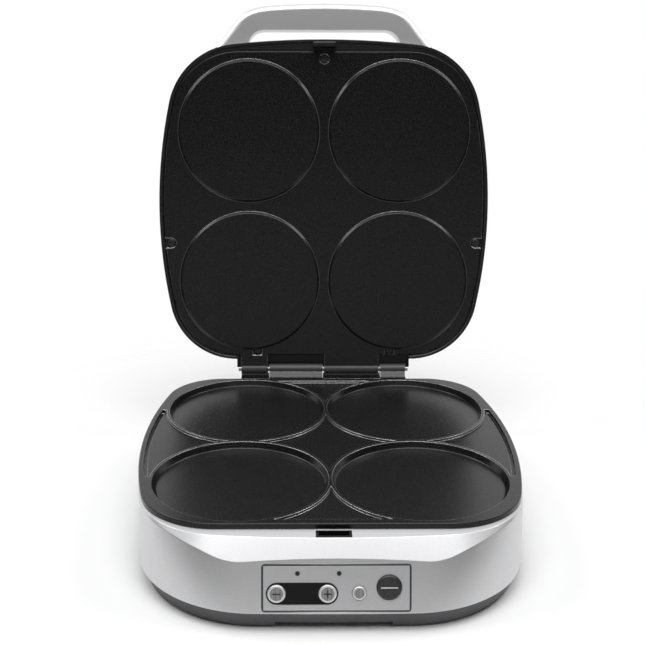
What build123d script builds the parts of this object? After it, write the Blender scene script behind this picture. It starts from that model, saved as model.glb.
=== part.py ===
"""Four-pancake maker: a hinged contact cooker, modelled with its lid open, in millimetres.

X runs to the user's right, Y away from the user and +Z up. The origin is on the table, under the
middle of the four wells. Lid pieces are drawn closed and then turned about the hinge pin.
"""

import os
from math import cos, radians, sin, tan

from build123d import *

# Where a primitive sits against its own origin
STANDING = (Align.CENTER, Align.CENTER, Align.MIN)
HANGING = (Align.CENTER, Align.CENTER, Align.MAX)

# Heights above the table
RIM_Z = 58.5
LEDGE_Z = RIM_Z - 4.0
WALL_FOOT_Z = 12.5

# Baking plates
WELL_R = 59.0
WELL_SPACING = 120.0
WELL_DEPTH = 4.6
WELL_SLOPE = 2.4
RING_WIDTH = 2.0
SUNK_DEPTH = 1.8
PLATE_DEPTH = 8.0
CAST_WALL = 3.4
RIM_OVERHANG = 2.8
RIM_ROUND = 0.8
WELL_CORNER = 1.2
FIELD_MARGIN = 4.0
FIELD_HALF_LENGTH = 57.0
SIDE_GROOVE = (3.4, 5.8)
SIDE_GROOVE_DEPTH = 1.2
DISC_R = 56.5
DISC_FACE_R = 54.7
DISC_RISE = 1.7
DISC_ROUND = 0.5
LID_GAP = 1.15

# Tubular heaters
HEATER_R = 3.25
HEATER_BEND = 36.0
HEATER_END_X = 16.0
HEATER_SINK = 1.0

# Outlines seen from above
PLATE_HALF_WIDTH = 132.5
PLATE_FRONT_Y = -122.4
PLATE_REAR_Y = 122.5
SIDE_SWELL = 20.0
BODY_MARGIN = -0.8
LEDGE_FRONT_Y = -133.0
SHELL_WALL = 2.2
SEAT_THICK = 2.6
SEAT_GAP = 0.5

# Leaning front wall and the sloping shoulder above it
FRONT_LEAN = 17.0
FRONT_FOOT_Y = -151.0
FOOT_CORNER_R = 80.0
TOP_CORNER_R = 70.0
GLAND_Z = 26.0
SHOULDER_ANGLE = 40.0
SHOULDER_DROP = 26.0

# Hinge, with the lid standing open against its stop
HINGE_Y = 132.8
HINGE_Z = RIM_Z + 4.5
LID_OPEN = 101.0
PIN_R = 2.0
PIN_CLEARANCE = 0.06
KNUCKLE_R = 4.2
BASE_KNUCKLES = ((-44.2, -0.6), (46.5, 67.2))
LID_KNUCKLES = ((-67.2, -45.4), (0.6, 45.3))

# Control panel, drawn on the leaning wall: its own u runs right and v runs up the slope
PANEL_X = 1.2
PANEL_WIDTH = 90.5
PANEL_HEIGHT = 29.0
PANEL_THICK = 1.6
BUTTON_GAP = 0.3
MINUS_AT = (-36.3, -3.3)
PLUS_AT = (-5.3, -3.3)
EXTRA_AT = (13.8, -3.0)
START_AT = (32.0, 0.4)
ADJUST_R = 5.5
EXTRA_R = 4.2
START_R = 7.5
WINDOW_CENTRE = (-20.8, -3.3)
WINDOW_SIZE = (43.6, 13.2)
LED_SPOTS = ((-23.6, 9.0), (1.6, 9.0))
LED_R = 1.4
BOARD_POSTS = ((-40.0, 9.0), (40.0, 9.0), (4.5, -7.0))
BOARD_DROP = 6.2

# Lid shell and handle
LID_RIM_Z = RIM_Z + 0.9
LID_HEIGHT = 36.0
LID_FRONT_Y = -131.5
LID_CORNER_DRAFT = 7.0
LID_SKIRT = 11.0
LID_TOP_FILLET = 13.0
CATCH_Y = -127.9
HANDLE_BOTTOM_Z = RIM_Z + 4.0
HANDLE_THICK = 18.0
GAP_FRONT_Y = -139.1
GAP_WIDTH = 121.0
GAP_CORNER = 13.0
FOOT_SPOTS = ((-88.0, -88.0), (88.0, -88.0), (-88.0, 88.0), (88.0, 88.0))
POST_SPOTS = ((0.0, 0.0), (-116.0, 0.0), (116.0, 0.0), (0.0, -106.0), (0.0, 106.0))
SCREW_BORE_R = 1.9
RECESS_R = 3.9
RECESS_DEPTH = 2.2
LID_SCREW_SPOTS = ((0.0, -116.4), (-123.0, 29.2), (123.0, 29.2), (-54.0, 116.8), (54.0, 116.8))
WELL_CENTRES = [(x * WELL_SPACING / 2, y * WELL_SPACING / 2) for x in (-1, 1) for y in (-1, 1)]


def side_edge(start, middle, end):
    """A straight or gently swelling side of an outline."""
    if start[0] == middle[0] or start[1] == middle[1]:
        return Line(start, end)
    return ThreePointArc(start, middle, end)


def outline(half_width, front_y, rear_y, front_r, rear_r, front_swell=0.0):
    """Round-cornered plan with swelling sides, and a front that can bow out."""
    corner_x = half_width - SIDE_SWELL
    middle_y = (front_y + rear_y) / 2
    corner_y = front_y + front_swell
    front = side_edge((-corner_x, corner_y), (0, front_y), (corner_x, corner_y))
    right = side_edge((corner_x, corner_y), (half_width, middle_y), (corner_x, rear_y))
    rear = Line((corner_x, rear_y), (-corner_x, rear_y))
    left = side_edge((-corner_x, rear_y), (-half_width, middle_y), (-corner_x, corner_y))
    face = make_face(front + right + rear + left)
    fronts = face.vertices().sort_by(Axis.Y)[:2]
    face = fillet(fronts, front_r)
    rears = face.vertices().sort_by(Axis.Y)[-2:]
    return fillet(rears, rear_r)


def slab(face, low, high):
    """A plan outline raised between two heights."""
    return extrude(Pos(0, 0, low) * face, high - low)


def ruled(lower, low, upper, high):
    """A straight-ruled body between two plan outlines."""
    return loft([Pos(0, 0, low) * lower, Pos(0, 0, high) * upper], ruled=True)


def opened(piece):
    """A lid piece turned from closed to its open stop about the hinge pin."""
    hinge = Pos(0, HINGE_Y, HINGE_Z)
    return hinge * Rot(-LID_OPEN, 0, 0) * hinge.inverse() * piece


def along_x(radius, start, end):
    """A round bar on the hinge axis between two places across the cooker."""
    bar = Rot(0, 90, 0) * Cylinder(radius, end - start, align=STANDING)
    return Pos(start, HINGE_Y, HINGE_Z) * bar


def post(spot, radius, low, high):
    """An upright round post or bore."""
    return Pos(spot[0], spot[1], low) * Cylinder(radius, high - low, align=STANDING)


def plate_face(margin=0.0):
    width = PLATE_HALF_WIDTH + margin
    return outline(width, PLATE_FRONT_Y - margin, PLATE_REAR_Y + margin, 52 + margin, 42 + margin)


def upper_plate_face(margin=0.0):
    width = PLATE_HALF_WIDTH - 3.4 + margin
    return outline(width, PLATE_FRONT_Y - margin, PLATE_REAR_Y - 1.6 + margin, 54 + margin, 52 + margin)


def ledge_face(margin=0.0):
    width = PLATE_HALF_WIDTH + BODY_MARGIN + margin
    rear_y = PLATE_REAR_Y + 4.0 + margin
    return outline(width, LEDGE_FRONT_Y - margin, rear_y, 55 + margin, 44 + margin, 9.0)


def wall_face(front_y, front_r, margin=0.0):
    width = PLATE_HALF_WIDTH + BODY_MARGIN + margin
    rear_y = PLATE_REAR_Y + 4.5 + margin
    return outline(width, front_y - margin, rear_y, front_r + margin, 44 + margin, 3.0)


def wells():
    """The four shallow pans sunk in the lower plate."""
    foot = RIM_Z - WELL_DEPTH
    pan = Pos(0, 0, foot) * Cone(WELL_R - WELL_SLOPE, WELL_R, WELL_DEPTH, align=STANDING)
    pan = fillet(pan.edges().group_by(Axis.Z)[0], WELL_CORNER)
    return [Pos(x, y, 0) * pan for x, y in WELL_CENTRES]


def sunk_field():
    """The lowered ground between the four well rings, inside the plate's rim."""
    field = plate_face(-FIELD_MARGIN) & Rectangle(300, 2 * FIELD_HALF_LENGTH)
    field += Rectangle(WELL_SPACING, 233)
    for centre in WELL_CENTRES:
        field -= Pos(*centre) * Circle(WELL_R + RING_WIDTH)
    return field


def side_grooves():
    """Overflow grooves beside the sunk fields, along the inside of the plate's rim."""
    outer, inner = SIDE_GROOVE
    band = plate_face(-outer) - plate_face(-inner)
    sides = Pos(-PLATE_HALF_WIDTH, 0) * Rectangle(60, 2 * FIELD_HALF_LENGTH)
    sides += Pos(PLATE_HALF_WIDTH, 0) * Rectangle(60, 2 * FIELD_HALF_LENGTH)
    floor = RIM_Z - SUNK_DEPTH - SIDE_GROOVE_DEPTH
    return slab(band & sides, floor, RIM_Z)


def element_path(z):
    """Centre line of a tubular heater: one loop under the four pans, open at the rear."""
    reach = WELL_SPACING / 2
    right = [(HEATER_END_X, reach), (reach, reach), (reach, -reach)]
    left = [(-reach, -reach), (-reach, reach), (-HEATER_END_X, reach)]
    return FilletPolyline(*[(x, y, z) for x, y in right + left], radius=HEATER_BEND)


def tube_along(path, radius):
    return sweep(Plane(path @ 0, z_dir=path % 0) * Circle(radius), path=path)


def lower_plate():
    """Cast lower plate: rim, well rings, sunk fields, skirt, screw posts and two hinge knuckles."""
    floor = RIM_Z - PLATE_DEPTH
    body = slab(plate_face(), LEDGE_Z, RIM_Z)
    body = fillet(body.edges().group_by(Axis.Z)[-1], RIM_ROUND)
    body += slab(plate_face(-RIM_OVERHANG), floor, LEDGE_Z)
    web_under = RIM_Z - SUNK_DEPTH - CAST_WALL
    under = plate_face(-RIM_OVERHANG - CAST_WALL)
    for centre in WELL_CENTRES:
        under -= Pos(*centre) * Circle(WELL_R + 3.2)
    body -= slab(under, floor, web_under)
    body -= slab(sunk_field(), RIM_Z - SUNK_DEPTH, RIM_Z)
    body -= side_grooves()
    for pan in wells():
        body -= pan
    for spot in POST_SPOTS:
        body += post(spot, 5.0, floor - 14.0, web_under + 0.5)
        body -= post(spot, SCREW_BORE_R, floor - 14.0, floor - 2.0)
    for start, end in BASE_KNUCKLES:
        body += knuckle(start, end, RIM_Z - 3.4, RIM_Z, PLATE_REAR_Y - 4.0)
    body -= along_x(PIN_R + PIN_CLEARANCE, -70, 70)
    return body - element_groove(floor - HEATER_SINK)


def knuckle(start, end, low, high, root_y):
    """A hinge barrel on a short arm that grows out of a plate's rear edge."""
    arm = make_face(
        Polyline(
            (root_y, low),
            (HINGE_Y - 4.5, low),
            (HINGE_Y + 1.5, HINGE_Z - 3.9),
            (HINGE_Y, HINGE_Z),
            (HINGE_Y - 4.0, HINGE_Z - 1.0),
            (HINGE_Y - 8.0, high),
            (root_y, high),
            close=True,
        )
    )
    web = extrude(Plane(origin=(start, 0, 0), x_dir=(0, 1, 0), z_dir=(1, 0, 0)) * arm, end - start)
    return web + along_x(KNUCKLE_R, start, end)


def upper_knuckle(start, end):
    """The lid's barrel, whose arm comes off the back of the upper plate's edge."""
    face_z = RIM_Z + LID_GAP
    arm = make_face(
        Polyline(
            (PLATE_REAR_Y - 4.0, face_z),
            (HINGE_Y - 7.0, face_z),
            (HINGE_Y - 2.5, HINGE_Z - 3.4),
            (HINGE_Y, HINGE_Z),
            (HINGE_Y - 1.0, HINGE_Z + 4.0),
            (PLATE_REAR_Y - 4.0, HINGE_Z + 3.0),
            close=True,
        )
    )
    web = extrude(Plane(origin=(start, 0, 0), x_dir=(0, 1, 0), z_dir=(1, 0, 0)) * arm, end - start)
    return web + along_x(KNUCKLE_R, start, end)


def upper_plate():
    """Cast upper plate: four raised pressing discs, skirt, screw seats and two hinge knuckles."""
    face_z = RIM_Z + LID_GAP
    back = face_z + PLATE_DEPTH
    body = slab(upper_plate_face(), face_z, back)
    body = fillet(body.edges().group_by(Axis.Z)[0], RIM_ROUND)
    body -= slab(upper_plate_face(-3.0), face_z + CAST_WALL, back)
    disc = Cone(DISC_FACE_R, DISC_R, DISC_RISE, align=HANGING)
    disc = fillet(disc.edges().group_by(Axis.Z)[0], DISC_ROUND)
    for x, y in WELL_CENTRES:
        body += Pos(x, y, face_z) * disc
    for spot in LID_SCREW_SPOTS:
        body += slab(upper_plate_face() & (Pos(*spot) * Circle(7.0)), face_z, back)
    for start, end in LID_KNUCKLES:
        body += upper_knuckle(start, end)
    for spot in LID_SCREW_SPOTS:
        body -= screw_recess(spot, face_z)
        body -= post(spot, SCREW_BORE_R, face_z, back + 1)
    body -= along_x(PIN_R + PIN_CLEARANCE, -70, 70)
    return body - element_groove(face_z + CAST_WALL + 2.2)


def screw_recess(spot, face_z):
    """Seat for a screw head, run out to the plate's nearest edge on all but the front screw."""
    x, y = spot
    recess = post(spot, RECESS_R, face_z - 1, face_z + RECESS_DEPTH)
    if abs(x) > 100:
        reach = Pos(x + (5 if x > 0 else -5), y) * Rectangle(10, 2 * RECESS_R)
        recess += slab(reach, face_z - 1, face_z + RECESS_DEPTH)
    elif y > 0:
        run_out = PLATE_REAR_Y - 1.5 - y
        reach = Pos(x, y + run_out / 2) * Rectangle(2 * RECESS_R, run_out)
        recess += slab(reach, face_z - 1, face_z + RECESS_DEPTH)
    return recess


def element_groove(z):
    """The bed that a plate's back holds for the heater and its turned-down ends."""
    radius = HEATER_R + 0.05
    ends = [Pos(x, WELL_SPACING / 2, z) * Sphere(radius) for x in (-HEATER_END_X, HEATER_END_X)]
    return tube_along(element_path(z), radius) + ends


def heating_element(z, away):
    """Tubular heater with its two cold ends turned away from the plate."""
    tube = tube_along(element_path(z), HEATER_R)
    for x in (-HEATER_END_X, HEATER_END_X):
        elbow = Pos(x, WELL_SPACING / 2, z) * Sphere(HEATER_R)
        stub = Cylinder(HEATER_R, 9, align=STANDING)
        pin = Cylinder(1.6, 14, align=STANDING)
        turn = Pos(x, WELL_SPACING / 2, z) * (Rot(0, 0, 0) if away > 0 else Rot(180, 0, 0))
        tube += elbow + turn * stub + turn * pin
    return tube


def housing_form(inset, foot_z):
    """Form of the base, set in evenly: a leaning front wall cut by the sloping shoulder."""
    lean = tan(radians(FRONT_LEAN))
    foot_front = FRONT_FOOT_Y + (foot_z - WALL_FOOT_Z) * lean
    top_front = FRONT_FOOT_Y + (LEDGE_Z - WALL_FOOT_Z) * lean
    foot = wall_face(foot_front, FOOT_CORNER_R, -inset)
    wall = ruled(foot, foot_z, wall_face(top_front, TOP_CORNER_R, -inset), LEDGE_Z)
    flare = SHOULDER_DROP * tan(radians(SHOULDER_ANGLE))
    step_in = inset / cos(radians(SHOULDER_ANGLE))
    low = LEDGE_Z - SHOULDER_DROP
    shoulder = ruled(ledge_face(flare - step_in), low, ledge_face(-step_in), LEDGE_Z)
    shoulder += slab(Rectangle(400, 400), foot_z, low + 0.01)
    return wall & shoulder


def panel_place():
    """Middle of the control panel on the leaning front wall, facing out and up."""
    lean = radians(FRONT_LEAN)
    height = WALL_FOOT_Z + (PANEL_HEIGHT / 2 + 1.4) * cos(lean)
    y = FRONT_FOOT_Y + (height - WALL_FOOT_Z) * tan(lean)
    return Plane(origin=(PANEL_X, y, height), x_dir=(1, 0, 0), z_dir=(0, -cos(lean), sin(lean)))


def on_panel(sketch, depth, thick):
    """A panel-shaped sketch, thick mm deep, whose front is depth mm in front of the wall."""
    place = panel_place()
    return extrude(place.offset(depth - thick) * sketch, thick)


def base_housing():
    """Silver outer shell: walls, shoulder, ledge, plate seat and the panel's opening."""
    seat_z = RIM_Z - PLATE_DEPTH
    flange_z = seat_z - SEAT_THICK
    cavity = housing_form(SHELL_WALL, WALL_FOOT_Z - 2.0)
    body = housing_form(0.0, WALL_FOOT_Z) - (cavity - slab(Rectangle(400, 400), flange_z, RIM_Z))
    body -= slab(plate_face(SEAT_GAP - RIM_OVERHANG), seat_z, RIM_Z)
    body -= slab(plate_face(-9.0), flange_z - 1, seat_z + 1)
    body -= on_panel(RectangleRounded(PANEL_WIDTH + 0.2, PANEL_HEIGHT + 0.2, 2.1), 4.0, 4.0 + PANEL_THICK)
    body -= on_panel(RectangleRounded(PANEL_WIDTH - 5, PANEL_HEIGHT - 5, 2.0), 4.0, 12.0)
    body -= slab(Pos(0, CATCH_Y) * Rectangle(22.2, 8.8), flange_z - 1, RIM_Z)
    body -= Pos(0, PLATE_REAR_Y + 4.5, GLAND_Z) * Rot(90, 0, 0) * Cylinder(7.1, 12)
    return body


def tray_face(inset):
    return wall_face(FRONT_FOOT_Y, FOOT_CORNER_R, -inset)


def bottom_tray():
    """Dark tray that closes the base, with a lip, cooling slots, screw posts and four foot rings."""
    body = ruled(tray_face(5.0), 1.2, tray_face(0.8), WALL_FOOT_Z)
    body += slab(tray_face(SHELL_WALL + 1.8), WALL_FOOT_Z - 0.5, WALL_FOOT_Z + 4.0)
    body -= slab(tray_face(SHELL_WALL + 4.2), 5.8, WALL_FOOT_Z + 5.0)
    body -= slab(tray_face(9.0), 0, 3.6)
    for spot in FOOT_SPOTS:
        body += post(spot, 13.0, 1.2, 4.0)
        body -= post(spot, 10.1, 0.0, 2.6)
    for x, y in ((0, FRONT_FOOT_Y), (0, PLATE_REAR_Y)):
        body -= Pos(x, y, 0) * Box(72, 24, 8.4)
    for spot in POST_SPOTS:
        body += post(spot, 5.5, 3.6, post_top())
        body -= post(spot, SCREW_BORE_R, 0, post_top() + 1)
        body -= post(spot, 4.0, 0, 8.0)
    for row in range(-3, 4):
        for side in (-1, 1):
            body -= Pos(side * 52, row * 9, 4) * extrude(SlotOverall(46, 3.2), 4, both=True)
    return body


def post_top():
    """Underside of the heat shield, which the tray's posts reach up to."""
    return RIM_Z - PLATE_DEPTH - 14.0 - 0.8


def heat_shield():
    """Bright sheet pan between the heater and the electronics."""
    low = post_top()
    pan = slab(plate_face(-9.0), low, low + 9.0)
    pan -= slab(plate_face(-9.8), low + 0.8, low + 10.0)
    for spot in POST_SPOTS:
        pan -= post(spot, SCREW_BORE_R, low - 1, low + 2)
    for x in (-HEATER_END_X, HEATER_END_X):
        pan -= post((x, WELL_SPACING / 2), 5.0, low - 1, low + 2)
    return pan


def screw(spot, head_z, length):
    """A pan-head screw whose head seats at head_z and whose shank goes up from it."""
    head = Cylinder(3.4, 2.0, align=HANGING)
    head = fillet(head.edges().group_by(Axis.Z)[0], 0.9)
    head -= Pos(0, 0, -2.0) * (Box(3.6, 0.8, 1.6) + Box(0.8, 3.6, 1.6))
    body = head + Cylinder(1.8, length, align=STANDING)
    return Pos(spot[0], spot[1], head_z) * body


def group(pieces):
    return Compound(children=list(pieces))


def lid_face(inset):
    width = PLATE_HALF_WIDTH - 0.3 - inset
    return outline(width, LID_FRONT_Y + inset, PLATE_REAR_Y + 1.5 - inset, 58 - inset, 54 - inset, 9.0)


def lid_dome(inset, height):
    """Round-shouldered lid form, drawn closed, set in evenly and with a given height."""
    spring = LID_RIM_Z + LID_SKIRT
    body = slab(lid_face(inset), LID_RIM_Z, spring)
    body += ruled(lid_face(inset), spring, lid_face(inset + LID_CORNER_DRAFT), LID_RIM_Z + height)
    return fillet(body.edges().group_by(Axis.Z)[-1], LID_TOP_FILLET - inset)


def hinge_hood(inset):
    """The narrow neck at the rear of the lid shell that covers the knuckles."""
    low = HINGE_Z + KNUCKLE_R + 0.6 + inset
    neck = Rectangle(2 * (71 - inset), 30, align=(Align.CENTER, Align.MAX))
    return slab(Pos(0, HINGE_Y - 0.6 - inset) * neck, low, LID_RIM_Z + 20 - inset)


def lid_shell():
    """Silver outer shell of the lid, with its hinge hood."""
    hood = hinge_hood(0)
    hood = fillet(hood.edges().filter_by(Axis.X).group_by(Axis.Z)[-1].sort_by(Axis.Y)[-1], 8.0)
    body = lid_dome(0, LID_HEIGHT) + hood
    body -= lid_dome(2.0, LID_HEIGHT - 2.4)
    gap = Pos(0, PLATE_REAR_Y - 6, LID_RIM_Z - 1) * Box(138.4, 30, 9.8, align=STANDING)
    return body - gap


def handle_outline():
    """Plan of the loop handle: sloping arms into a nearly straight grip."""
    right = Polyline((101, -108), (76, -138.5))
    bend = Spline((76, -138.5), (65, -151.5), (45, -158.2), tangents=((-0.63, -0.77), (-1, -0.12)))
    grip = ThreePointArc((45, -158.2), (0, -160.0), (-45, -158.2))
    left_bend = mirror(bend, Plane.YZ)
    left = Polyline((-76, -138.5), (-101, -108))
    back = Line((-101, -108), (101, -108))
    return make_face(right + bend + grip + left_bend + left + back)


def finger_gap():
    """Plan of the opening between the lid's front and the grip."""
    body = Pos(0, GAP_FRONT_Y + 9.0) * Rectangle(GAP_WIDTH, 18.0)
    return fillet(body.vertices().sort_by(Axis.Y)[:2], GAP_CORNER)


def handle():
    """Loop handle moulded to the lid's front corners."""
    top = HANDLE_BOTTOM_Z + HANDLE_THICK
    body = slab(handle_outline(), HANDLE_BOTTOM_Z, top)
    body = fillet(body.edges().filter_by(Plane.XY).filter_by(lambda e: e.center().Y < -112), 5.0)
    body -= slab(finger_gap(), HANDLE_BOTTOM_Z - 1, top + 1)
    return body - lid_dome(0, LID_HEIGHT)


def lid_liner():
    """Black frame inside the lid's rim: it holds the upper plate and fills the front crescent."""
    back = RIM_Z + LID_GAP + PLATE_DEPTH
    body = slab(lid_face(2.1), RIM_Z + 1.7, back + 1.3)
    body -= slab(upper_plate_face(0.25), RIM_Z, back)
    body -= slab(upper_plate_face(-9.0), RIM_Z, back + 3)
    for spot in LID_SCREW_SPOTS:
        body += post(spot, 4.0, back, back + 6.0)
    for spot in LID_SCREW_SPOTS:
        body -= post(spot, SCREW_BORE_R, back - 1, back + 7.0)
    body -= Pos(0, PLATE_REAR_Y, back - 12) * Box(138.4, 7.0, 24)
    return body


def latch_tab():
    """Blade on the lid's front with a small nib, which drops into the catch."""
    low = RIM_Z - 9.0
    blade = slab(Pos(0, -126.7) * Rectangle(17.6, 4.0), low, RIM_Z + 1.7)
    blade = fillet(blade.edges().filter_by(Axis.X).group_by(Axis.Z)[0], 1.0)
    nib = Pos(0, -128.7, low + 2.4) * Rot(0, 90, 0) * Cylinder(0.5, 15.0)
    return blade + nib


def catch_insert():
    """Black insert in the ledge with the slot that the latch blade drops into."""
    body = slab(Pos(0, CATCH_Y) * Rectangle(22, 8.6), LEDGE_Z - 9.0, LEDGE_Z)
    body -= slab(Pos(0, -127.0) * Rectangle(18.6, 5.6), LEDGE_Z - 8.0, LEDGE_Z + 1)
    return body


def control_fascia():
    """Flat silver panel with its window, lamp and button openings and an engraved border."""
    face = RectangleRounded(PANEL_WIDTH, PANEL_HEIGHT, 2.0)
    face -= Pos(*WINDOW_CENTRE) * SlotOverall(WINDOW_SIZE[0] + 0.1, WINDOW_SIZE[1] + 0.1)
    face -= Pos(*EXTRA_AT) * Circle(EXTRA_R + BUTTON_GAP)
    face -= Pos(*START_AT) * Circle(START_R + BUTTON_GAP)
    for spot in LED_SPOTS:
        face -= Pos(*spot) * Circle(LED_R)
    body = on_panel(face, 0.0, PANEL_THICK)
    border = RectangleRounded(PANEL_WIDTH - 0.6, PANEL_HEIGHT - 0.6, 1.8)
    border -= RectangleRounded(PANEL_WIDTH - 1.8, PANEL_HEIGHT - 1.8, 1.2)
    body -= on_panel(border, 1.0, 1.3)
    for spot in BOARD_POSTS:
        body += on_panel(Pos(*spot) * Circle(1.8), -PANEL_THICK, BOARD_DROP)
    return body


def display_window():
    """Black glossy pill that holds the display and the two adjusting buttons."""
    face = Pos(*WINDOW_CENTRE) * SlotOverall(*WINDOW_SIZE)
    for spot in (MINUS_AT, PLUS_AT):
        face -= Pos(*spot) * Circle(ADJUST_R + BUTTON_GAP)
    return on_panel(face, 0.3, 0.3 + PANEL_THICK)


def button(spot, radius, dome, proud):
    """A domed push button with a flange that keeps it behind the panel."""
    place = panel_place() * Pos(spot[0], spot[1], 0)
    cap = Cylinder(radius, proud + PANEL_THICK, align=STANDING)
    cap = Pos(0, 0, -PANEL_THICK) * cap
    cap = fillet(cap.edges().group_by(Axis.Z)[-1], dome)
    flange = Pos(0, 0, -PANEL_THICK) * Cylinder(radius + 0.9, 0.9, align=HANGING)
    stem = Pos(0, 0, -PANEL_THICK) * Cylinder(1.5, 3.0, align=HANGING)
    return place * (cap + flange + stem)


def control_board():
    """Circuit board behind the panel, with four key switches under the buttons."""
    front = -PANEL_THICK - BOARD_DROP
    body = on_panel(RectangleRounded(PANEL_WIDTH - 7, PANEL_HEIGHT - 7.4, 1.0), front, 1.6)
    for spot in (MINUS_AT, PLUS_AT, EXTRA_AT, START_AT):
        body += on_panel(Pos(*spot) * Rectangle(6, 6), front + 1.6, 1.7)
    for spot in LED_SPOTS:
        body += on_panel(Pos(*spot) * Rectangle(2.4, 2.4), front + 0.8, 0.9)
    return body


def display_module():
    """Small numeric display between the two adjusting buttons."""
    front = -PANEL_THICK
    return on_panel(Pos(*WINDOW_CENTRE) * Rectangle(15.5, 11), front, BOARD_DROP)


def led_lens(spot):
    """Clear light guide from the board to the panel's face."""
    return on_panel(Pos(*spot) * Circle(LED_R - 0.02), 0.25, PANEL_THICK + 5.6)


def power_board():
    """Relay and power-supply board on the tray floor, behind the panel."""
    base = Pos(0, -62, 9.0)
    body = base * Box(88, 46, 1.6, align=STANDING)
    for x in (-32, -10):
        body += base * Pos(x, 6, 1.6) * Box(18, 15, 13, align=STANDING)
    body += base * Pos(16, 8, 1.6) * Cylinder(6, 12, align=STANDING)
    body += base * Pos(33, 4, 1.6) * Box(12, 20, 11, align=STANDING)
    for x in (-40, 40):
        for y in (-19, 19):
            body += base * Pos(x, y, 0) * Cylinder(2.4, 3.2, align=HANGING)
    return body


def thermostat(x, face_z, away):
    """Disc sensor pressed against the plate's back, in its steel cup."""
    side = Align.MIN if away > 0 else Align.MAX
    cup = Pos(x, 0, face_z) * Cylinder(8, 6, align=(Align.CENTER, Align.CENTER, side))
    ears = Pos(x, 0, face_z) * Box(24, 7, 1.0, align=(Align.CENTER, Align.CENTER, side))
    return cup + ears


def thermal_fuse(x, y, face_z, away):
    """One-shot fuse in a clamp on the plate's back."""
    side = Align.MIN if away > 0 else Align.MAX
    barrel = Pos(x, y, face_z + away * 2.4) * Rot(0, 90, 0) * Cylinder(2.4, 16)
    foot = Pos(x, y, face_z) * Box(8, 12, 2.4, align=(Align.CENTER, Align.CENTER, side))
    return barrel + foot


def cord_gland():
    """Rubber-lined outlet in the rear wall for the supply lead."""
    place = Pos(0, PLATE_REAR_Y + 4.5, GLAND_Z) * Rot(-90, 0, 0)
    collar = Cylinder(9.5, 2.2, align=STANDING)
    collar = fillet(collar.edges().group_by(Axis.Z)[-1], 1.2)
    neck = Pos(0, 0, -SHELL_WALL - 1.2) * Cylinder(7.0, SHELL_WALL + 1.3, align=STANDING)
    lip = Pos(0, 0, -SHELL_WALL - 1.2) * Cylinder(8.6, 1.2, align=STANDING)
    return place * (collar + neck + lip - Cylinder(3.6, 20))


def foot_pads():
    """Four soft pads pressed into rings in the tray."""
    pads = []
    for spot in FOOT_SPOTS:
        pad = post(spot, 10.0, 0.0, 2.6)
        pads.append(fillet(pad.edges().group_by(Axis.Z)[0], 0.8))
    return group(pads)


def nodes():
    """Every piece by name, each in its place."""
    plate_floor = RIM_Z - PLATE_DEPTH
    upper_face = RIM_Z + LID_GAP
    upper_web = upper_face + CAST_WALL
    lid_screws = group(screw(spot, upper_face + RECESS_DEPTH, 11.0) for spot in LID_SCREW_SPOTS)
    pieces = {
        "base_housing": base_housing(),
        "bottom_tray": bottom_tray(),
        "foot_pads": foot_pads(),
        "lower_plate": lower_plate(),
        "lower_heating_element": heating_element(plate_floor - HEATER_SINK, -1),
        "lower_thermostat": thermostat(30, plate_floor, -1),
        "lower_thermal_fuse": thermal_fuse(-30, 20, plate_floor, -1),
        "heat_shield": heat_shield(),
        "tray_screws": group(screw(spot, 8.0, 33.0) for spot in POST_SPOTS),
        "hinge_pin": along_x(PIN_R, -69.5, 69.5),
        "control_fascia": control_fascia(),
        "display_window": display_window(),
        "display_module": display_module(),
        "power_lamp_lens": led_lens(LED_SPOTS[0]),
        "ready_lamp_lens": led_lens(LED_SPOTS[1]),
        "control_board": control_board(),
        "power_board": power_board(),
        "minus_button": button(MINUS_AT, ADJUST_R, 0.9, 1.3),
        "plus_button": button(PLUS_AT, ADJUST_R, 0.9, 1.3),
        "extra_button": button(EXTRA_AT, EXTRA_R, 0.9, 1.2),
        "start_button": button(START_AT, START_R, 1.0, 1.4),
        "catch_insert": catch_insert(),
        "cord_gland": cord_gland(),
        "lid_shell": opened(lid_shell()),
        "handle": opened(handle()),
        "lid_liner": opened(lid_liner()),
        "upper_plate": opened(upper_plate()),
        "upper_heating_element": opened(heating_element(upper_web + 2.2, 1)),
        "upper_thermostat": opened(thermostat(30, upper_web, 1)),
        "upper_thermal_fuse": opened(thermal_fuse(-30, 20, upper_web, 1)),
        "latch_tab": opened(latch_tab()),
        "upper_plate_screws": opened(lid_screws),
    }
    return pieces


os.makedirs("parts", exist_ok=True)
for name, piece in nodes().items():
    export_step(piece, f"parts/{name}.step")
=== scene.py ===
"""Looks of the four-pancake maker, put together piece by piece around its fixed frame."""

from math import cos, radians, sin, tau

import bpy
from mathutils import Matrix, Vector


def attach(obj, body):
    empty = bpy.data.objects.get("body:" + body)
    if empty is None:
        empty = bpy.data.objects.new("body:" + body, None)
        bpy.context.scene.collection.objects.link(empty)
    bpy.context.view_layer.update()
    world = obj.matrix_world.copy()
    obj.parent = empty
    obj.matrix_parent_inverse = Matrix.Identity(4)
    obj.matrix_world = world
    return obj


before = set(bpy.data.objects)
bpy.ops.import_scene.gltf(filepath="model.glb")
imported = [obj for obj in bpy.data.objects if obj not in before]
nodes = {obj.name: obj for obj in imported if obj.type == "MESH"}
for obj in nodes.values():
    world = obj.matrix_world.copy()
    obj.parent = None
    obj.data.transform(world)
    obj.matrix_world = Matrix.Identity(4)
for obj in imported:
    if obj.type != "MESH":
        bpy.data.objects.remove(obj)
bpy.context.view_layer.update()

# Camera
# A short telephoto in front of the table, a little left of the middle and looking down on the
# open cooker. The lens is 64 mm on a 36 mm frame, and the shift only centres the subject.
camera_data = bpy.data.cameras.new("camera")
camera_data.sensor_width = 36.0
camera_data.lens = 64.02
camera_data.shift_x = 0.0267
camera_data.shift_y = 0.0124
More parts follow.
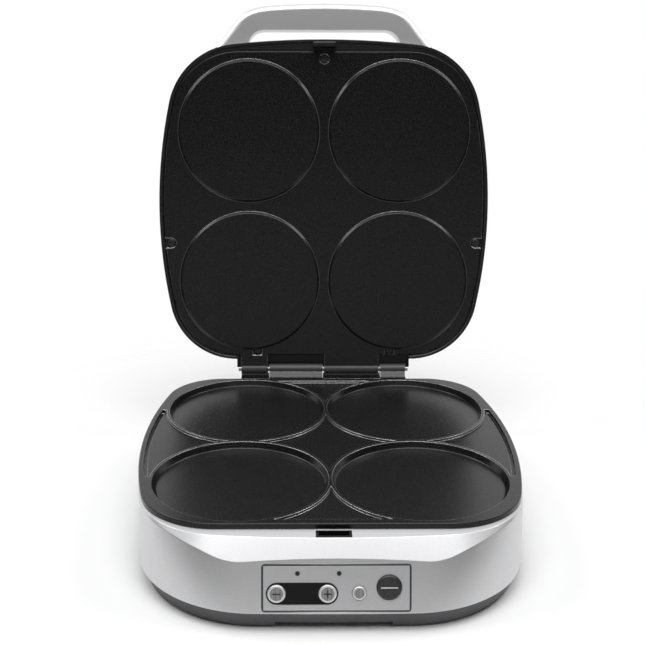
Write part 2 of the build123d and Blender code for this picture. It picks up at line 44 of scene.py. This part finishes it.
camera = bpy.data.objects.new("camera", camera_data)
yaw, pitch, roll = radians(0.676), radians(19.0), radians(0.19)
forward = Vector((sin(yaw) * cos(pitch), cos(yaw) * cos(pitch), -sin(pitch)))
across = Vector((cos(yaw), -sin(yaw), 0.0))
upward = across.cross(forward)
right = across * cos(roll) + upward * sin(roll)
top = upward * cos(roll) - across * sin(roll)
facing = Matrix((right, top, -forward)).transposed().to_4x4()
camera.matrix_world = Matrix.Translation((-0.0253, -0.7507, 0.4005)) @ facing
bpy.context.scene.collection.objects.link(camera)
bpy.context.scene.camera = camera

# Table and studio walls
# White paper under the cooker, which fades out into the white surround a little way off. A curved
# card behind the camera is pale below for the leaning front to reflect, darker to the sides and
# black above for the cast plates. It is clear to the camera, and neither is part of the cooker.
FADE_START, FADE_END = 0.17, 0.50
CARD_DISTANCE, CARD_FOOT, CARD_HEIGHT, CARD_STEPS = 2.2, -1.2, 1.75, 24
CARD_FIRST_TURN, CARD_SWEEP = -200, 220
CARD_PALE_TO, CARD_DARK_FROM = 0.6, 0.8
WINGS_FROM, WINGS_TO, WINGS_SHARE = 0.4, 1.7, 0.08


def new_mesh(name, corners, faces, finish):
    """A mesh object from its corners and faces, in metres."""
    mesh = bpy.data.meshes.new(name)
    mesh.from_pydata(corners, [], faces)
    made = bpy.data.objects.new(name, mesh)
    mesh.materials.append(finish)
    bpy.context.scene.collection.objects.link(made)
    return made


def new_finish(name, colour, roughness, metallic=0.0, specular=0.5):
    """A Principled material with its uniform values set on its own sockets."""
    made = bpy.data.materials.new(name)
    made.use_nodes = True
    shader = made.node_tree.nodes["Principled BSDF"]
    shader.inputs["Base Color"].default_value = (*colour, 1)
    shader.inputs["Roughness"].default_value = roughness
    shader.inputs["Metallic"].default_value = metallic
    shader.inputs["Specular IOR Level"].default_value = specular
    return made, made.node_tree, shader


def clear_where(tree, shader, share):
    """Lets light straight through where the share is 1."""
    clear = tree.nodes.new("ShaderNodeBsdfTransparent")
    blend = tree.nodes.new("ShaderNodeMixShader")
    tree.links.new(share, blend.inputs[0])
    tree.links.new(shader.outputs[0], blend.inputs[1])
    tree.links.new(clear.outputs[0], blend.inputs[2])
    tree.links.new(blend.outputs[0], tree.nodes["Material Output"].inputs["Surface"])


paper, tree, shader = new_finish("table_paper", (0.99, 0.99, 0.99), 0.8, 0.0, 0.1)
spot = tree.nodes.new("ShaderNodeNewGeometry")
reach = tree.nodes.new("ShaderNodeVectorMath")
reach.operation = "LENGTH"
fade = tree.nodes.new("ShaderNodeMapRange")
fade.interpolation_type = "SMOOTHERSTEP"
fade.inputs["From Min"].default_value = FADE_START
fade.inputs["From Max"].default_value = FADE_END
tree.links.new(spot.outputs["Position"], reach.inputs[0])
tree.links.new(reach.outputs["Value"], fade.inputs["Value"])
clear_where(tree, shader, fade.outputs["Result"])
sheet_corners = [(-1, -1, 0), (1, -1, 0), (1, 1, 0), (-1, 1, 0)]
new_mesh("table", sheet_corners, [(0, 1, 2, 3)], paper)

card_grey, tree, shader = new_finish("card_grey", (0.4, 0.4, 0.4), 0.9, 0.0, 0.1)
spot = tree.nodes.new("ShaderNodeNewGeometry")
split = tree.nodes.new("ShaderNodeSeparateXYZ")
climb = tree.nodes.new("ShaderNodeMapRange")
climb.inputs["From Min"].default_value = CARD_PALE_TO
climb.inputs["From Max"].default_value = CARD_DARK_FROM
shades = tree.nodes.new("ShaderNodeMix")
shades.data_type = "RGBA"
shades.inputs["A"].default_value = (0.95, 0.95, 0.95, 1)
shades.inputs["B"].default_value = (0.02, 0.02, 0.02, 1)
tree.links.new(spot.outputs["Position"], split.inputs[0])
tree.links.new(split.outputs["Z"], climb.inputs["Value"])
tree.links.new(climb.outputs["Result"], shades.inputs["Factor"])
aside = tree.nodes.new("ShaderNodeMath")
aside.operation = "ABSOLUTE"
wings = tree.nodes.new("ShaderNodeMapRange")
wings.inputs["From Min"].default_value = WINGS_FROM
wings.inputs["From Max"].default_value = WINGS_TO
wings.inputs["To Min"].default_value = 1.0
wings.inputs["To Max"].default_value = WINGS_SHARE
toned = tree.nodes.new("ShaderNodeVectorMath")
toned.operation = "SCALE"
tree.links.new(split.outputs["X"], aside.inputs[0])
tree.links.new(aside.outputs[0], wings.inputs["Value"])
tree.links.new(shades.outputs["Result"], toned.inputs[0])
tree.links.new(wings.outputs["Result"], toned.inputs["Scale"])
tree.links.new(toned.outputs[0], shader.inputs["Base Color"])
eye = tree.nodes.new("ShaderNodeLightPath")
clear_where(tree, shader, eye.outputs["Is Camera Ray"])
card_corners = []
for step in range(CARD_STEPS + 1):
    turn = radians(CARD_FIRST_TURN + CARD_SWEEP * step / CARD_STEPS)
    x, y = CARD_DISTANCE * cos(turn), CARD_DISTANCE * sin(turn)
    card_corners += [(x, y, CARD_FOOT), (x, y, CARD_HEIGHT)]
card_faces = [(2 * i, 2 * i + 2, 2 * i + 3, 2 * i + 1) for i in range(CARD_STEPS)]
new_mesh("grey_card", card_corners, card_faces, card_grey)

# Studio light
# A broad soft box overhead, a strip high on each side that draws the bright lines on the cast
# edges, and an even white surround.
world = bpy.data.worlds.new("studio")
bpy.context.scene.world = world
world.use_nodes = True
sky = world.node_tree
surround = sky.nodes["Background"]
surround.inputs["Color"].default_value = (1, 1, 1, 1)
surround.inputs["Strength"].default_value = 0.35
plain = sky.nodes.new("ShaderNodeBackground")
plain.inputs["Color"].default_value = (1, 1, 1, 1)
plain.inputs["Strength"].default_value = 1.0
path = sky.nodes.new("ShaderNodeLightPath")
pick = sky.nodes.new("ShaderNodeMixShader")
seen = path.outputs["Is Camera Ray"]
for ray in ("Is Glossy Ray", "Is Transmission Ray"):
    either = sky.nodes.new("ShaderNodeMath")
    either.operation = "MAXIMUM"
    sky.links.new(seen, either.inputs[0])
    sky.links.new(path.outputs[ray], either.inputs[1])
    seen = either.outputs[0]
sky.links.new(seen, pick.inputs[0])
sky.links.new(surround.outputs[0], pick.inputs[1])
sky.links.new(plain.outputs[0], pick.inputs[2])
sky.links.new(pick.outputs[0], sky.nodes["World Output"].inputs["Surface"])


def soft_box(name, place, target, size, power):
    """An area light that faces a point on the cooker."""
    light = bpy.data.lights.new(name, "AREA")
    light.shape = "RECTANGLE"
    light.size, light.size_y = size
    light.energy = power
    lamp = bpy.data.objects.new(name, light)
    lamp.location = place
    lamp.rotation_euler = (Vector(target) - Vector(place)).to_track_quat("-Z", "Y").to_euler()
    bpy.context.scene.collection.objects.link(lamp)


soft_box("top_box", (0.0, -0.5, 1.6), (0, 0, 0.1), (1.4, 0.9), 16.0)
soft_box("left_strip", (-1.15, 0.3, 1.35), (0, 0.1, 0.2), (0.9, 0.6), 8.0)
soft_box("right_strip", (1.15, 0.3, 1.35), (0, 0.1, 0.2), (0.9, 0.6), 8.0)

# Bottom tray, feet and cord gland
# Dark grey moulded tray with the spark-eroded grain of its tool, on four soft rubber pads that
# press into its rings. The gland in the rear wall is of the same rubber.
SMOOTH_UNDER = radians(28)


def relief(tree, shader, scale, low, high, bump, edge=0.0004, distance=0.00005):
    """Fine noise that varies the roughness and raises a relief, with edges eased by a small radius."""
    where = tree.nodes.new("ShaderNodeTexCoord")
    noise = tree.nodes.new("ShaderNodeTexNoise")
    noise.inputs["Scale"].default_value = scale
    noise.inputs["Detail"].default_value = 4.0
    spread = tree.nodes.new("ShaderNodeMapRange")
    spread.inputs["To Min"].default_value = low
    spread.inputs["To Max"].default_value = high
    eased = tree.nodes.new("ShaderNodeBevel")
    eased.samples = 6
    eased.inputs["Radius"].default_value = edge
    raised = tree.nodes.new("ShaderNodeBump")
    raised.inputs["Strength"].default_value = bump
    raised.inputs["Distance"].default_value = distance
    tree.links.new(where.outputs["Object"], noise.inputs["Vector"])
    tree.links.new(noise.outputs["Fac"], spread.inputs["Value"])
    tree.links.new(spread.outputs["Result"], shader.inputs["Roughness"])
    tree.links.new(noise.outputs["Fac"], raised.inputs["Height"])
    tree.links.new(eased.outputs["Normal"], raised.inputs["Normal"])
    tree.links.new(raised.outputs["Normal"], shader.inputs["Normal"])
    return where


def mottle(tree, shader, where, scale, dark, light):
    """A faint change of tone from place to place. Its colour output is handed back."""
    cloud = tree.nodes.new("ShaderNodeTexNoise")
    cloud.inputs["Scale"].default_value = scale
    cloud.inputs["Detail"].default_value = 3.0
    tones = tree.nodes.new("ShaderNodeValToRGB")
    tones.color_ramp.elements[0].position = 0.3
    tones.color_ramp.elements[0].color = (*dark, 1)
    tones.color_ramp.elements[1].position = 0.7
    tones.color_ramp.elements[1].color = (*light, 1)
    tree.links.new(where.outputs["Object"], cloud.inputs["Vector"])
    tree.links.new(cloud.outputs["Fac"], tones.inputs["Fac"])
    tree.links.new(tones.outputs["Color"], shader.inputs["Base Color"])
    return tones.outputs["Color"]


def dress(finish, *names):
    """Gives CAD nodes a finish, and smooth shading that keeps real edges crisp."""
    for name in names:
        mesh = nodes[name].data
        mesh.materials.clear()
        mesh.materials.append(finish)
        for polygon in mesh.polygons:
            polygon.use_smooth = True
        mesh.set_sharp_from_angle(angle=SMOOTH_UNDER)


tray, tree, shader = new_finish("dark_tray_plastic", (0.07, 0.07, 0.073), 0.5)
where = relief(tree, shader, 1800, 0.45, 0.6, 0.35)
mottle(tree, shader, where, 60, (0.065, 0.065, 0.068), (0.08, 0.08, 0.083))
dress(tray, "bottom_tray")

rubber, tree, shader = new_finish("soft_rubber", (0.02, 0.02, 0.02), 0.8)
where = relief(tree, shader, 900, 0.7, 0.9, 0.3)
mottle(tree, shader, where, 200, (0.016, 0.016, 0.016), (0.03, 0.03, 0.03))
dress(rubber, "foot_pads", "cord_gland")

# Base housing, lid shell and handle
# Injection-moulded shells in a satin silver lacquer with a very fine flake, painted lighter and
# less metallic where they lie level as painted top light. The housing drops over the tray's lip,
# and the handle is moulded to the lid's front corners.
# The hood over the hinge barrels and the lid's rim are masked black on their inner sides.
HOOD_HALF_WIDTH, HOOD_TOP, HOOD_FACES, RIM_FACES = 0.0716, 0.082, 0.5, 0.85
METAL_SHARE, TOP_LIGHT_METAL_LOSS = 0.8, 0.7
TOP_LIGHT_FROM, TOP_LIGHT_TO = 0.85, 0.95


def math_node(tree, operation, first, second=None):
    """One arithmetic step, whose inputs are sockets or plain numbers."""
    step = tree.nodes.new("ShaderNodeMath")
    step.operation = operation
    for place, value in enumerate((first, second)):
        if isinstance(value, (int, float)):
            step.inputs[place].default_value = value
        elif value is not None:
            tree.links.new(value, step.inputs[place])
    return step.outputs[0]


def paint_where(tree, shader, mask, under, colour):
    """Lays a second colour over the first where the mask is 1, and hands the result back."""
    layers = tree.nodes.new("ShaderNodeMix")
    layers.data_type = "RGBA"
    layers.inputs["B"].default_value = (*colour, 1)
    tree.links.new(mask, layers.inputs["Factor"])
    tree.links.new(under, layers.inputs["A"])
    tree.links.new(layers.outputs["Result"], shader.inputs["Base Color"])
    return shader.inputs["Base Color"].links[0].from_socket


def silver_finish(name):
    """Silver lacquer, painted lighter and less metallic on level faces as painted top light, with what
    is needed to paint over it.
    """
    made, tree, shader = new_finish(name, (0.66, 0.66, 0.67), 0.34, METAL_SHARE)
    where = relief(tree, shader, 2600, 0.3, 0.4, 0.1, 0.0006)
    under = mottle(tree, shader, where, 1500, (0.63, 0.63, 0.64), (0.69, 0.69, 0.7))
    facing = tree.nodes.new("ShaderNodeSeparateXYZ")
    tree.links.new(where.outputs["Normal"], facing.inputs[0])
    # Painted top light: faces that lie level are painted lighter and made less metallic, so they read
    # light under the overhead box.
    level = tree.nodes.new("ShaderNodeMapRange")
    level.inputs["From Min"].default_value = TOP_LIGHT_FROM
    level.inputs["From Max"].default_value = TOP_LIGHT_TO
    tree.links.new(facing.outputs["Z"], level.inputs["Value"])
    under = paint_where(tree, shader, level.outputs["Result"], under, (0.68, 0.68, 0.69))
    top_light_metal_drop = math_node(tree, "MULTIPLY", level.outputs["Result"], TOP_LIGHT_METAL_LOSS)
    metal = math_node(tree, "SUBTRACT", METAL_SHARE, top_light_metal_drop)
    tree.links.new(metal, shader.inputs["Metallic"])
    return made, tree, shader, where, under, metal


silver, tree, shader, where, under, metal = silver_finish("silver_lacquer")
dress(silver, "base_housing", "handle")

lid_silver, tree, shader, where, under, metal = silver_finish("lid_lacquer")
place = tree.nodes.new("ShaderNodeSeparateXYZ")
facing = tree.nodes.new("ShaderNodeSeparateXYZ")
tree.links.new(where.outputs["Object"], place.inputs[0])
tree.links.new(where.outputs["Normal"], facing.inputs[0])
inside = math_node(tree, "ABSOLUTE", place.outputs["X"])
inside = math_node(tree, "LESS_THAN", inside, HOOD_HALF_WIDTH)
low = math_node(tree, "LESS_THAN", place.outputs["Z"], HOOD_TOP)
front = math_node(tree, "LESS_THAN", facing.outputs["Y"], HOOD_FACES)
hood = math_node(tree, "MULTIPLY", inside, math_node(tree, "MULTIPLY", low, front))
rim = math_node(tree, "LESS_THAN", facing.outputs["Y"], -RIM_FACES)
mask = math_node(tree, "MAXIMUM", hood, rim)
paint_where(tree, shader, mask, under, (0.008, 0.008, 0.008))
metal = math_node(tree, "MULTIPLY", math_node(tree, "SUBTRACT", 1.0, mask), metal)
tree.links.new(metal, shader.inputs["Metallic"])
dress(lid_silver, "lid_shell")

# Circuit boards
# Green lacquered boards inside the base, out of sight when it is shut up.
lacquer, tree, shader = new_finish("board_lacquer", (0.03, 0.16, 0.05), 0.4)
where = relief(tree, shader, 1200, 0.35, 0.5, 0.1)
mottle(tree, shader, where, 400, (0.025, 0.13, 0.04), (0.035, 0.18, 0.06))
dress(lacquer, "control_board", "power_board")

# Heaters, sensors, heat shield and hinge pin
# Steel tubes and cups pressed to the plates' backs, a bright sheet pan, and a ground steel pin.
steel, tree, shader = new_finish("plain_steel", (0.45, 0.45, 0.46), 0.35, 1.0)
where = relief(tree, shader, 700, 0.28, 0.45, 0.15)
mottle(tree, shader, where, 150, (0.4, 0.4, 0.4), (0.5, 0.5, 0.51))
dress(
    steel, "hinge_pin", "lower_heating_element", "upper_heating_element", "lower_thermostat",
    "upper_thermostat", "lower_thermal_fuse", "upper_thermal_fuse", "heat_shield",
)

# Baking plates
# Cast aluminium under a black non-stick coat with a fine speckle. The eased edges are painted light
# grey and metallic as painted highlights, and the hinge barrels that both plates carry are rougher
# and painted grey as a painted sheen. The lower plate runs on as a lip under them.
HINGE_Y, HINGE_Z, BARREL_REACH, BARREL_DULLING = 0.1328, 0.0630, 0.0046, 0.12
EDGE_RADIUS, EDGE_START, EDGE_FULL = 0.0009, 0.99, 0.85


def painted_highlight_edges(tree):
    """Mask of the painted edge highlight: 1 on edges that the bevel eases, 0 on flat ground."""
    eased = tree.nodes.new("ShaderNodeBevel")
    eased.samples = 8
    eased.inputs["Radius"].default_value = EDGE_RADIUS
    plain = tree.nodes.new("ShaderNodeNewGeometry")
    alike = tree.nodes.new("ShaderNodeVectorMath")
    alike.operation = "DOT_PRODUCT"
    tree.links.new(eased.outputs["Normal"], alike.inputs[0])
    tree.links.new(plain.outputs["Normal"], alike.inputs[1])
    share = tree.nodes.new("ShaderNodeMapRange")
    share.inputs["From Min"].default_value = EDGE_START
    share.inputs["From Max"].default_value = EDGE_FULL
    tree.links.new(alike.outputs["Value"], share.inputs["Value"])
    return share.outputs["Result"]


coat, tree, shader = new_finish("non_stick_coat", (0.006, 0.006, 0.006), 0.25, 0.0, 0.4)
where = relief(tree, shader, 1500, 0.2, 0.32, 0.5, 0.001, 0.00006)
under = mottle(tree, shader, where, 900, (0.001, 0.001, 0.001), (0.014, 0.014, 0.014))
place = tree.nodes.new("ShaderNodeSeparateXYZ")
tree.links.new(where.outputs["Object"], place.inputs[0])
back = math_node(tree, "SUBTRACT", place.outputs["Y"], HINGE_Y)
rise = math_node(tree, "SUBTRACT", place.outputs["Z"], HINGE_Z)
back_square = math_node(tree, "MULTIPLY", back, back)
rise_square = math_node(tree, "MULTIPLY", rise, rise)
from_pin = math_node(tree, "SQRT", math_node(tree, "ADD", back_square, rise_square))
barrel = math_node(tree, "LESS_THAN", from_pin, BARREL_REACH)
# Painted sheen: the hinge barrels are painted grey to stand in for the broad soft highlight they
# catch.
painted_barrel_sheen = paint_where(tree, shader, barrel, under, (0.07, 0.07, 0.07))
painted_highlight_share = painted_highlight_edges(tree)
# Painted highlight: eased edges are painted light grey and made metallic, standing in for the bright
# lines light draws on them.
paint_where(tree, shader, painted_highlight_share, painted_barrel_sheen, (0.55, 0.55, 0.55))
tree.links.new(painted_highlight_share, shader.inputs["Metallic"])
fine = shader.inputs["Roughness"].links[0].from_socket
duller = math_node(tree, "ADD", fine, math_node(tree, "MULTIPLY", barrel, BARREL_DULLING))
tree.links.new(duller, shader.inputs["Roughness"])
dress(coat, "lower_plate", "upper_plate")

LIP_TOP, LIP_REAR, LIP_FOOT, LIP_HALF_WIDTH, LIP_EDGE = 0.05835, 0.1369, 0.0546, 0.0672, 0.0009
PLATE_REAR = 0.1222
lip_profile = [
    (PLATE_REAR, LIP_FOOT), (LIP_REAR - LIP_EDGE, LIP_FOOT), (LIP_REAR, LIP_FOOT + LIP_EDGE),
    (LIP_REAR, LIP_TOP - LIP_EDGE), (LIP_REAR - LIP_EDGE, LIP_TOP), (PLATE_REAR, LIP_TOP),
]
lip_corners = [(side * LIP_HALF_WIDTH, y, z) for side in (-1, 1) for y, z in lip_profile]
count = len(lip_profile)
lip_faces = [tuple(range(count)), tuple(range(2 * count - 1, count - 1, -1))]
lip_faces += [(i, count + i, count + (i + 1) % count, (i + 1) % count) for i in range(count)]
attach(new_mesh("plate_rear_lip", lip_corners, lip_faces, coat), "base")

# Control fascia
# Flat silver panel let into the leaning wall, with a dark line filled into its engraved border.
LEAN = radians(17)
OUTWARD = Vector((0, -cos(LEAN), sin(LEAN)))
UPSLOPE = Vector((0, sin(LEAN), cos(LEAN)))
BORDER_INSET = 0.00095


def panel_spot(name):
    """Middle of a panel piece's front, and its half width and half height on the slope."""
    points = [v.co for v in nodes[name].data.vertices]
    spans = [[p.x for p in points], [p.dot(UPSLOPE) for p in points], [p.dot(OUTWARD) for p in points]]
    u, v = ((min(span) + max(span)) / 2 for span in spans[:2])
    half = [(max(span) - min(span)) / 2 for span in spans[:2]]
    return Vector((u, 0, 0)) + UPSLOPE * v + OUTWARD * max(spans[2]), half


def slope_axes(tree, where, middle):
    """Distances right and up the slope from a spot on the panel."""
    found = []
    offset = tree.nodes.new("ShaderNodeVectorMath")
    offset.operation = "SUBTRACT"
    offset.inputs[1].default_value = middle
    tree.links.new(where.outputs["Object"], offset.inputs[0])
    for axis in (Vector((1, 0, 0)), UPSLOPE):
        along = tree.nodes.new("ShaderNodeVectorMath")
        along.operation = "DOT_PRODUCT"
        along.inputs[1].default_value = axis
        tree.links.new(offset.outputs[0], along.inputs[0])
        found.append(along.outputs["Value"])
    return found


fascia, tree, shader = new_finish("fascia_lacquer", (0.6, 0.6, 0.61), 0.42, 0.7)
where = relief(tree, shader, 3000, 0.38, 0.46, 0.08, 0.0003)
under = mottle(tree, shader, where, 1500, (0.58, 0.58, 0.59), (0.64, 0.64, 0.65))
middle, half = panel_spot("control_fascia")
u, v = slope_axes(tree, where, middle)
past_u = math_node(tree, "SUBTRACT", math_node(tree, "ABSOLUTE", u), half[0] - BORDER_INSET)
past_v = math_node(tree, "SUBTRACT", math_node(tree, "ABSOLUTE", v), half[1] - BORDER_INSET)
mask = math_node(tree, "GREATER_THAN", math_node(tree, "MAXIMUM", past_u, past_v), 0.0)
paint_where(tree, shader, mask, under, (0.09, 0.09, 0.09))
dress(fascia, "control_fascia")

# Display window and lamp lenses
# A glossy black pill set flush in the fascia over the dark display, and two smoked light guides.
gloss, tree, shader = new_finish("black_gloss", (0.002, 0.002, 0.002), 0.1, 0.0, 0.35)
where = relief(tree, shader, 300, 0.08, 0.14, 0.01, 0.0002)
dress(gloss, "display_window", "display_module")
lens, tree, shader = new_finish("smoked_lens", (0.02, 0.02, 0.02), 0.2)
where = relief(tree, shader, 500, 0.15, 0.28, 0.03, 0.0003)
dress(lens, "power_lamp_lens", "ready_lamp_lens")

# Push buttons
# Three clear caps over a brushed silver core, which shows as a grey disc in a light ring, and a
# dark start button. Their signs are thin printed bars that travel with them.
CORE_SHARE, CROWN_DEPTH, PRINT_THICK = 0.74, 0.0012, 0.00006
STREAKS_PER_METRE = 1400
SIGN_LENGTH, SIGN_WIDTH = 0.0052, 0.0008


def cap_radius(name):
    """Radius of the cap itself, measured on its front few tenths of a millimetre."""
    middle = panel_spot(name)[0]
    front = middle.dot(OUTWARD) - CROWN_DEPTH
    crown = [v.co for v in nodes[name].data.vertices if v.co.dot(OUTWARD) > front]
    return max(abs(p.x - middle.x) for p in crown)


def clear_cap(name):
    """A clear-coated cap whose rim is light and whose core is brushed up and down."""
    cap, tree, shader = new_finish(name + "_cap", (0.5, 0.5, 0.5), 0.2, 0.3)
    shader.inputs["Coat Weight"].default_value = 1.0
    shader.inputs["Coat Roughness"].default_value = 0.05
    where = relief(tree, shader, 500, 0.15, 0.25, 0.03, 0.0005)
    u, v = slope_axes(tree, where, panel_spot(name)[0])
    streaks = tree.nodes.new("ShaderNodeTexNoise")
    streaks.noise_dimensions = "1D"
    streaks.inputs["Scale"].default_value = STREAKS_PER_METRE
    tones = tree.nodes.new("ShaderNodeValToRGB")
    tones.color_ramp.elements[0].position = 0.35
    tones.color_ramp.elements[0].color = (0.17, 0.17, 0.17, 1)
    tones.color_ramp.elements[1].position = 0.7
    tones.color_ramp.elements[1].color = (0.42, 0.42, 0.42, 1)
    tree.links.new(u, streaks.inputs["W"])
    tree.links.new(streaks.outputs["Fac"], tones.inputs["Fac"])
    squares = math_node(tree, "MULTIPLY", u, u), math_node(tree, "MULTIPLY", v, v)
    from_middle = math_node(tree, "SQRT", math_node(tree, "ADD", *squares))
    rim = math_node(tree, "GREATER_THAN", from_middle, cap_radius(name) * CORE_SHARE)
    paint_where(tree, shader, rim, tones.outputs["Color"], (0.75, 0.75, 0.75))
    dress(cap, name)


def printed_bar(name, button, width, height, ink):
    """A thin printed bar with rounded ends on the middle of a button's face."""
    middle = panel_spot(button)[0]
    round_end = min(width, height) / 2
    outline = []
    for quarter, (right, above) in enumerate(((1, 1), (-1, 1), (-1, -1), (1, -1))):
        end_u, end_v = right * (width / 2 - round_end), above * (height / 2 - round_end)
        for step in range(5):
            turn = tau / 4 * (quarter + step / 4)
            along, up = end_u + round_end * cos(turn), end_v + round_end * sin(turn)
            outline.append(middle + Vector((along, 0, 0)) + UPSLOPE * up)
    corners = [point - OUTWARD * PRINT_THICK for point in outline]
    corners += [point + OUTWARD * PRINT_THICK for point in outline]
    count = len(outline)
    faces = [tuple(range(count - 1, -1, -1)), tuple(range(count, 2 * count))]
    faces += [(i, (i + 1) % count, count + (i + 1) % count, count + i) for i in range(count)]
    bar = new_mesh(name, corners, faces, ink)
    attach(bar, button)


for name in ("minus_button", "plus_button", "extra_button"):
    clear_cap(name)
start, tree, shader = new_finish("start_cap", (0.03, 0.03, 0.032), 0.28)
where = relief(tree, shader, 500, 0.22, 0.36, 0.05, 0.0006)
mottle(tree, shader, where, 300, (0.025, 0.025, 0.027), (0.04, 0.04, 0.042))
dress(start, "start_button")
dark_ink, tree, shader = new_finish("dark_ink", (0.02, 0.02, 0.02), 0.5)
where = relief(tree, shader, 3000, 0.45, 0.6, 0.05, 0.00005)
white_ink, tree, shader = new_finish("white_ink", (0.8, 0.8, 0.8), 0.5)
where = relief(tree, shader, 3000, 0.45, 0.6, 0.05, 0.00005)
printed_bar("minus_sign", "minus_button", SIGN_LENGTH, SIGN_WIDTH, dark_ink)
printed_bar("plus_sign_level", "plus_button", SIGN_LENGTH, SIGN_WIDTH, dark_ink)
printed_bar("plus_sign_upright", "plus_button", SIGN_WIDTH, SIGN_LENGTH, dark_ink)
printed_bar("start_line", "start_button", 0.0105, 0.0006, white_ink)

# Liner, latch blade and catch
# Black moulded plastic. The liner frames the upper plate, the blade drops into the catch.
liner, tree, shader = new_finish("black_plastic", (0.006, 0.006, 0.0065), 0.36, 0.0, 0.35)
where = relief(tree, shader, 1400, 0.32, 0.45, 0.2, 0.0006)
mottle(tree, shader, where, 300, (0.004, 0.004, 0.0045), (0.009, 0.009, 0.0095))
dress(liner, "lid_liner", "latch_tab", "catch_insert")

# Screws
# Small cross-head screws with a dark zinc finish, the same over both plates and under the tray.
zinc, tree, shader = new_finish("dark_zinc", (0.05, 0.05, 0.052), 0.4, 0.8)
where = relief(tree, shader, 900, 0.32, 0.5, 0.15, 0.0002)
mottle(tree, shader, where, 300, (0.04, 0.04, 0.042), (0.07, 0.07, 0.072))
dress(zinc, "tray_screws", "upper_plate_screws")

bpy.context.scene.view_settings.view_transform = "Standard"
